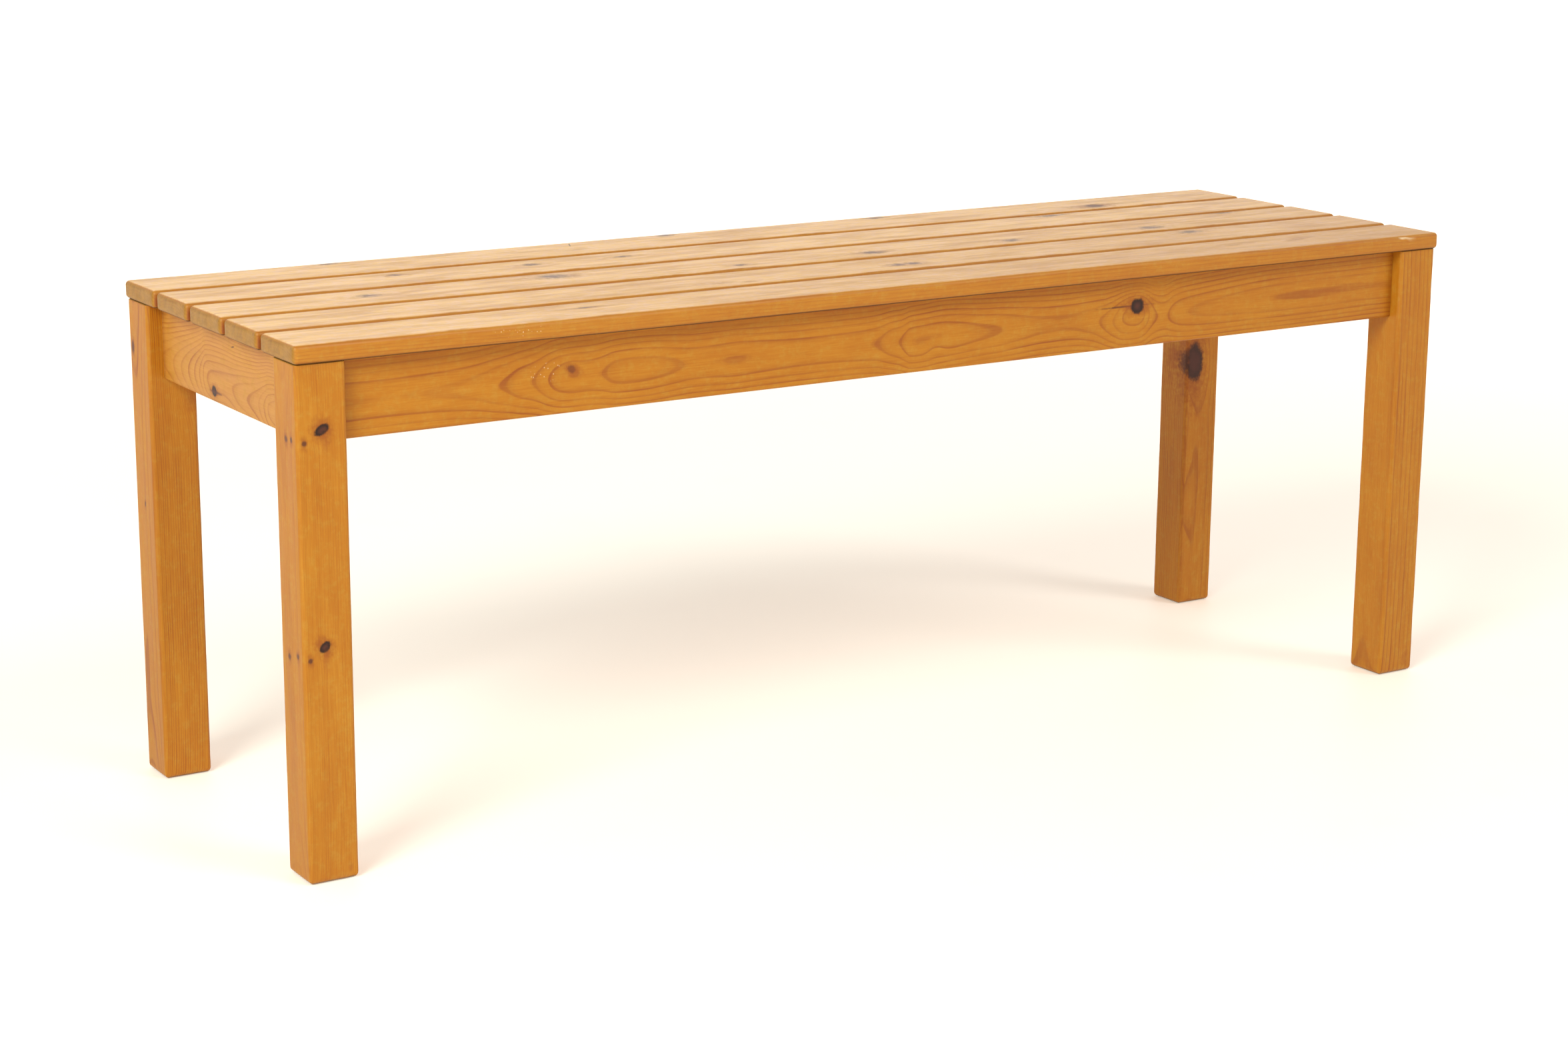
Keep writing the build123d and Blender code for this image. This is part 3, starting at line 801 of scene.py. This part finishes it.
def front_apron_board():
    """The front apron, sawn flat: its face nearly touches the rings, so they draw long pointed arches and
    closed ovals where the log's heart comes nearer. Each point gives the distance from the left shoulder
    and how deep the heart lies there."""
    left, face = -LONG_SHOULDER, -APRON_FACE
    arches = [
        (0, 51.0), (85, 50.7), (147, 48.0), (165, 46.3), (178, 45.2), (192, 42.6), (204, 41.0), (216, 40.5),
        (229, 40.5), (239, 40.2), (247, 39.6), (265, 38.5), (285, 38.5), (300, 38.9), (312, 39.4),
        (322, 39.9), (335, 40.3), (355, 40.2), (378, 39.87), (400, 40.2), (450, 40.7), (500, 40.5),
        (515, 40.3), (527, 39.9), (540, 38.4), (555, 37.1), (565, 34.9), (577, 34.6), (592, 34.7),
        (612, 35.3), (640, 36.5), (665, 37.2), (690, 38.3), (720, 39.2), (742, 39.3), (765, 38.6),
        (782, 37.2), (800, 34.5), (818, 32.8), (836, 34.3), (850, 37.5), (858, 37.7), (866, 36.6),
        (888, 34.5), (950, 32.9), (1000, 32.1), (1060, 31.8), (1110, 31.85), (1152, 31.6),
    ]
    centre = [
        (0, -3.5), (540, -3.5), (565, -5.0), (610, -2.5), (660, -3.0), (740, -3.0), (790, -7.0),
        (830, -8.5), (870, -5.5), (905, -4.5), (1000, -1.5), (1152, 0.0),
    ]

    def mark(from_left, up, half, kind="stain", bend=0.0, turn=0.0, reach=2.4):
        return Knot((left + from_left, face, up), half, kind, bend, (0, turn, 0), reach)

    return Board(
        "front_apron", "x", (face, 0), 2.7,
        depth=[(left + at, depth) for at, depth in arches],
        drift=[(left + at, height) for at, height in centre],
        knots=[
            mark(215, 2.5, (4.0, 24, 3.2), "none", bend=1.3, turn=0.35, reach=2.0),
            mark(214, 4.0, (4.2, 10, 3.4), "live", turn=0.5),
            mark(220, 2.0, (6.5, 10, 3.0), turn=0.4),
            mark(212, 4.0, (7.5, 10, 5.5), turn=-0.4),
            mark(190, 3.5, (19, 6, 9), "chips"),
            mark(378, -1.5, (12, 8, 0.9)),
            mark(592, -14.5, (9, 30, 6), "none", bend=-1.5, reach=1.2),
            mark(528, -4.0, (6, 10, 4.5), turn=0.5),
            mark(812, 6.0, (38, 8, 1.1), "crack"),
            mark(826, 5.5, (7.6, 22, 7.2), "dead", bend=5.0),
            mark(1060, 0.0, (46, 8, 2.0), turn=0.04),
            mark(1098, 4.0, (28, 8, 1.4), turn=0.04),
            mark(1040, -4.0, (30, 8, 1.2), turn=0.04),
        ],
        seed=3, lines=0.95, wander=0.7, phase=0.14, uneven=0.0,
    )


def left_apron_board():
    """The left end apron, sawn flat too, its arches pointing to the back."""
    back, face = END_SHOULDER, APRON_FACE
    arches = [
        (0, 59.2), (15, 58.2), (30, 56.6), (55, 53.7), (75, 50.8), (90, 47.9), (103, 45.0),
        (125, 44.3), (150, 43.6), (172, 42.1), (200, 40.3), (212, 39.2), (228, 36.3), (240, 33.8),
        (262, 32.5), (282, 33.0),
    ]
    return Board(
        "left_end_apron", "y", (face, 0), 2.1,
        depth=[(back - at, -depth) for at, depth in reversed(arches)],
        drift=[(-back, -21), (-90, -20), (-30, -18), (20, -14), (60, -15), (back, -16)],
        knots=[
            Knot((back - 118, face, -24.5), (5.0, 16, 4.6), "dead", 1.5, reach=2.6),
            Knot((back - 121, face, -25), (16, 8, 1.6), "crack"),
            Knot((back - 163, face, 21.5), (5, 8, 0.9), "crack", turn=(0, 0.25, 0)),
        ],
        seed=5, lines=0.82, wander=1.0, phase=0.49, uneven=0.0,
    )


def apron_boards():
    """The four aprons, of which the back one and the right one have plain, nearly straight grain."""
    bow = [(-LONG_SHOULDER, 6), (0, -4), (LONG_SHOULDER, 5)]
    short_bow = [(-END_SHOULDER, 5), (40, -3), (END_SHOULDER, 4)]
    return [
        front_apron_board(),
        left_apron_board(),
        Board("back_apron", "x", (38, 6), 2.5, depth=bow, seed=4, lines=0.85),
        Board("right_end_apron", "y", (-40, -5), 2.6, depth=short_bow, seed=6, lines=0.85),
    ]


def leg_boards():
    """The four legs. a runs up the leg, b to the back and c to the left, and the knots are placed by their
    distance below the leg's top."""
    top = np.ptp(box_mm("front_left_leg"), axis=0)[2] / 2

    def below(distance, b, c, half, kind="live", bend=0.0, turn=0.0, reach=2.4):
        return Knot((top - distance, b, c), half, kind, bend, (0, turn, 0), reach)

    front_left = [
        below(55, -22, 0.5, (4.0, 15, 6.8), "dead", bend=2.0, turn=-0.5),
        below(66, -22, -3, (9, 9, 4), "stain"),
        below(65, -22, 16, (2.4, 9, 2.4)),
        below(238, -22, 3.0, (4.0, 15, 5.8), "dead", bend=2.0, turn=-0.75),
        below(249, -22, 2, (10, 9, 3.4), "stain"),
        below(248, -22, 16, (2.3, 9, 2.3)),
        below(63, -11.5, 22, (2.6, 2.6, 6)),
        below(64, -1, 22, (2.8, 2.8, 6)),
        below(246, -11.5, 22, (2.6, 2.6, 6)),
        below(250, 6, 22, (3.0, 3.0, 6)),
        below(433, -22, -15, (4, 6, 2), "stain"),
    ]
    front_right = [below(430, -22, -12, (12, 6, 5), "stain")]
    back_left = [
        below(43, 14.5, 22, (6.0, 3.6, 8), bend=1.5),
        below(186, 0, 22, (2.8, 1.8, 6)),
        below(74, -22, -24, (20, 16, 15), "none", bend=9.0, reach=1.5),
        below(90, -22, -17, (10, 6, 7), "stain"),
    ]
    back_right = [
        below(168, -22, 12, (20, 24, 11.5), "dead", bend=7.0, reach=1.8),
        below(168, -22, 12, (22, 24, 13), "crack"),
        below(310, -22, 20.5, (150, 5, 1.6), "stain"),
        below(330, -22, 24, (26, 16, 10), "none", bend=3.5, reach=1.5),
        below(166, 2, 22, (14, 20, 5), "stain"),
    ]
    logs = (
        ((6, -66), 2.1, front_left, 0.35),
        ((4, -65.5), 5.0, front_right, 0.8),
        ((10, -52), 2.0, back_left, 0.95),
        ((34, 4), 2.2, back_right, 0.7),
    )
    bow = [(-top, 2), (0, -1), (top, 1.5)]
    return [
        Board(f"{corner}_leg", "z", pith, ring, drift=bow, knots=knots, seed=20 + at, lines=lines)
        for at, (corner, (pith, ring, knots, lines)) in enumerate(zip(CORNERS, logs))
    ]


def inner_boards():
    """The three battens and the four corner blocks inside the frame."""
    battens = [Board(name, "y", (30, -25 - 6 * at), 2.8, seed=30 + at) for at, name in enumerate(BATTENS)]
    blocks = [
        Board(f"{corner}_corner_block", "z", (26 + 5 * at, 30), 2.6, seed=40 + at)
        for at, corner in enumerate(CORNERS)
    ]
    return battens + blocks


# ---- operators


class BENCH_OT_seat_boards(bpy.types.Operator):
    """Make the five seat boards, rounded on every edge, worn pale on top with a painted highlight"""

    bl_idname = "bench.seat_boards"
    bl_label = "Seat Boards"

    def execute(self, context):
        sizes, colours = context.scene.bench_sizes, context.scene.bench_colours
        rounding = sizes.slat_rounding / MM
        for number, board in enumerate(seat_boards(), 1):
            dents, chips = (), ()
            if number == 1:
                top, front = board.half[2], -board.half[1]
                dents = ((575, front, top - 1.5), (5, 3, 1.4), 0.7), ((586, front, top - 3), (3, 3, 1.2), 0.5)
                chips = ((575, front, top - 2), (4.4, 3.0, 1.1)), ((585, front, top - 3.4), (3.0, 3.0, 1.0))
            surface = bar_surface(board.half, rounding, (rounding, rounding), sizes.mesh_step / MM)
            mesh = board_mesh(board, *surface, sizes, dents, chips)
            # How pale the top's wear is laid at the left and right end: a painted highlight, falling off to
            # the right on the front boards
            worn = (1.0, 0.48 + 0.13 * number)
            material = pine(f"lacquered_pine_{board.node}", board, colours, worn=worn, ends=True, gloss=0.32)
            finished_piece(f"seat_board_{number}", mesh, material, board.node)
        return {"FINISHED"}


class BENCH_OT_legs(bpy.types.Operator):
    """Make the four square legs, their upright edges and feet rounded"""

    bl_idname = "bench.legs"
    bl_label = "Legs"

    def execute(self, context):
        sizes, colours = context.scene.bench_sizes, context.scene.bench_colours
        rounding, foot, eased, step = (
            size / MM for size in (sizes.leg_rounding, sizes.foot_rounding, sizes.eased_edge, sizes.mesh_step)
        )
        for board in leg_boards():
            dents = ()
            if board.node == "front_left_leg":
                dents = ((-213, -22.5, -17), (3.5, 4, 2.5), 1.4), ((-219, -22.5, -18), (4, 3, 2), 1.0)
            surface = bar_surface(board.half, rounding, (foot, eased), step, least=0.9)
            mesh = cut_to(board_mesh(board, *surface, sizes, dents), board.node)
            material = pine(f"lacquered_pine_{board.node}", board, colours, ends=True, grime_and_shade=3.0)
            finished_piece(board.node.replace("leg", "post"), mesh, material, board.node)
        return {"FINISHED"}


class BENCH_OT_aprons(bpy.types.Operator):
    """Finish the two long and two end aprons"""

    bl_idname = "bench.aprons"
    bl_label = "Aprons"

    def execute(self, context):
        colours = context.scene.bench_colours
        for board in apron_boards():
            joint = LONG_SHOULDER if board.run == "x" else END_SHOULDER
            # Painted light: the left end apron gets a lighter, yellower wood, for the light that falls on the
            # bench's left end
            bare = 0.4 if board.node == "left_end_apron" else 0.0
            material = pine(f"lacquered_pine_{board.node}", board, colours, inside=bare, joint=joint)
            dress_node(board.node, material)
        return {"FINISHED"}


class BENCH_OT_inner_pieces(bpy.types.Operator):
    """Finish the battens and corner blocks inside the frame"""

    bl_idname = "bench.inner_pieces"
    bl_label = "Battens and Blocks"

    def execute(self, context):
        colours = context.scene.bench_colours
        for board in inner_boards():
            material = pine(f"planed_pine_{board.node}", board, colours, inside=0.8, gloss=0.15)
            dress_node(board.node, material)
        return {"FINISHED"}


class BENCH_OT_screws(bpy.types.Operator):
    """Make the countersunk screws that hold the seat boards and the corner blocks"""

    bl_idname = "bench.screws"
    bl_label = "Screws"

    def execute(self, context):
        sizes = context.scene.bench_sizes
        material = zinc_plate(context.scene.bench_colours)
        pitch = (box_mm("seat_slat_2")[0] - box_mm("seat_slat_1")[0])[1]
        for at, batten in enumerate(BATTENS):
            low, high = box_mm(f"{batten}_screws")
            middle, reach = (low + high) / 2, (high[1] - low[1] - sizes.screw_head / MM) / 2
            pairs = [(side * OUTER_PAIR, row * reach) for row in (-1, 1) for side in (-1, 1)]
            pairs += [(0, row * pitch + side * INNER_PAIR) for row in (-1, 0, 1) for side in (-1, 1)]
            heads = [(middle[0] + across, along, low[2]) for across, along in pairs]
            grids = placed_screws(high[2] - low[2], heads, (0, 0, 1), sizes, at)
            finished_screws(batten, grids, material)
        for at, corner in enumerate(CORNERS):
            low, high = box_mm(f"{corner}_block_screws")
            outward = np.array([-1.0 if "left" in corner else 1.0, -1.0 if "front" in corner else 1.0, 0.0])
            middle, spare = (low + high) / 2, sizes.screw_head / MM / 2 * math.sqrt(0.5)
            extent = high[0] - low[0] - spare
            start = middle - outward * (extent - spare) / 2
            heads = [start + (0, 0, side * BLOCK_PAIR) for side in (-1, 1)]
            grids = placed_screws(extent * math.sqrt(2), heads, outward, sizes, 10 + at)
            finished_screws(f"{corner}_block", grids, material)
        return {"FINISHED"}


def dress_node(name, material):
    """Gives a node that keeps its own mesh its material."""
    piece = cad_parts[name]
    piece.material_slots[0].material = material


def finished_screws(held, grids, material):
    """The screws that hold a piece, as one object in place of their node."""
    mesh = grid_mesh(f"{held}_screws", grids)
    weld(mesh)
    finished_piece(f"{held}_wood_screws", mesh, material, f"{held}_screws")


class BENCH_OT_studio(bpy.types.Operator):
    """Lay the pale floor and set the soft lights, the room and the camera"""

    bl_idname = "bench.studio"
    bl_label = "Studio"

    def execute(self, context):
        scene, studio = context.scene, context.scene.bench_studio
        make_floor(scene.bench_colours)
        softbox = bpy.data.lights.new("left_light", "AREA")
        softbox.shape, softbox.size, softbox.energy = "DISK", studio.softbox_size, studio.softbox_light
        softbox.color = studio.softbox_colour
        place_light(softbox, studio.softbox_place)
        sun = bpy.data.lights.new("right_light", "SUN")
        sun.angle, sun.energy = studio.sun_breadth, studio.sun_strength
        place_light(sun, studio.sun_place)
        make_room(scene, studio)
        make_camera(scene, studio)
        scene.view_settings.view_transform = "Standard"
        scene.view_settings.look = "None"
        return {"FINISHED"}


def make_floor(colours):
    """A flat round floor, wide enough to fill the view from any side."""
    turns = np.linspace(0, 2 * np.pi, 64, endpoint=False)
    rim = np.stack([np.cos(turns), np.sin(turns), np.zeros_like(turns)], axis=1) * FLOOR_RADIUS
    mesh = bpy.data.meshes.new("floor")
    mesh.from_pydata(rim.tolist(), [], [list(range(len(turns)))])
    mesh.materials.append(painted_floor(colours))
    floor = bpy.data.objects.new("floor", mesh)
    bpy.context.scene.collection.objects.link(floor)


def place_light(lamp, place):
    """Sets up a lamp at a place, shining at the middle of the bench."""
    light = bpy.data.objects.new(lamp.name, lamp)
    light.location = place
    light.rotation_euler = Vector(place).to_track_quat("Z", "Y").to_euler()
    bpy.context.scene.collection.objects.link(light)


def make_room(scene, studio):
    """The white room round the bench, as the world's even light. What it lights gets less than its walls
    show, because the lamps do the rest."""
    world = bpy.data.worlds.new("white_room")
    world.use_nodes = True
    tree = world.node_tree
    tree.nodes.clear()
    diffuse = node(tree, "LightPath").outputs["Is Diffuse Ray"]
    strength = node(tree, "MapRange", (diffuse, 0.0, 1.0, studio.room_white, studio.room_light))
    background = node(tree, "Background", {"Color": (1, 1, 1, 1), "Strength": strength})
    node(tree, "OutputWorld", [background])
    scene.world = world


def make_camera(scene, studio):
    """The camera, turned by its yaw from +Y, then its pitch, then its roll about the line of sight."""
    yaw, pitch, roll = studio.camera_yaw, studio.camera_pitch, studio.camera_roll
    ahead = Vector((math.sin(yaw) * math.cos(pitch), math.cos(yaw) * math.cos(pitch), -math.sin(pitch)))
    level = Vector((math.cos(yaw), -math.sin(yaw), 0))
    above = level.cross(ahead)
    right = math.cos(roll) * level + math.sin(roll) * above
    up = math.cos(roll) * above - math.sin(roll) * level
    data = bpy.data.cameras.new("camera")
    data.sensor_width, data.lens = 36.0, studio.lens
    data.clip_end = 100.0
    camera = bpy.data.objects.new("camera", data)
    turned = Matrix((right, up, -ahead)).transposed().to_4x4()
    camera.matrix_world = Matrix.Translation(studio.camera_place) @ turned
    scene.collection.objects.link(camera)
    scene.camera = camera


class BENCH_PT_panel(bpy.types.Panel):
    """The bench's sizes, colours and operators"""

    bl_idname = "BENCH_PT_panel"
    bl_label = "Slatted Pine Bench"
    bl_space_type = "VIEW_3D"
    bl_region_type = "UI"
    bl_category = "Bench"

    def draw(self, context):
        for operator in OPERATORS:
            self.layout.operator(operator.bl_idname)
        for group in (context.scene.bench_sizes, context.scene.bench_colours, context.scene.bench_studio):
            for name in group.__annotations__:
                self.layout.prop(group, name)


OPERATORS = (
    BENCH_OT_seat_boards,
    BENCH_OT_legs,
    BENCH_OT_aprons,
    BENCH_OT_inner_pieces,
    BENCH_OT_screws,
    BENCH_OT_studio,
)
GROUPS = {"bench_sizes": BenchSizes, "bench_colours": BenchColours, "bench_studio": BenchStudio}


def register():
    """Registers the property groups, the operators and the panel."""
    for name, group in GROUPS.items():
        bpy.utils.register_class(group)
        setattr(bpy.types.Scene, name, bpy.props.PointerProperty(type=group))
    for operator in (*OPERATORS, BENCH_PT_panel):
        bpy.utils.register_class(operator)


def unregister():
    """Takes back what register added."""
    for operator in (BENCH_PT_panel, *reversed(OPERATORS)):
        bpy.utils.unregister_class(operator)
    for name, group in GROUPS.items():
        delattr(bpy.types.Scene, name)
        bpy.utils.unregister_class(group)


def main():
    """Builds the dressed bench."""
    register()
    for operator in OPERATORS:
        group, name = operator.bl_idname.split(".")
        getattr(getattr(bpy.ops, group), name)()
    bpy.context.view_layer.update()


if __name__ == "__main__":
    main()
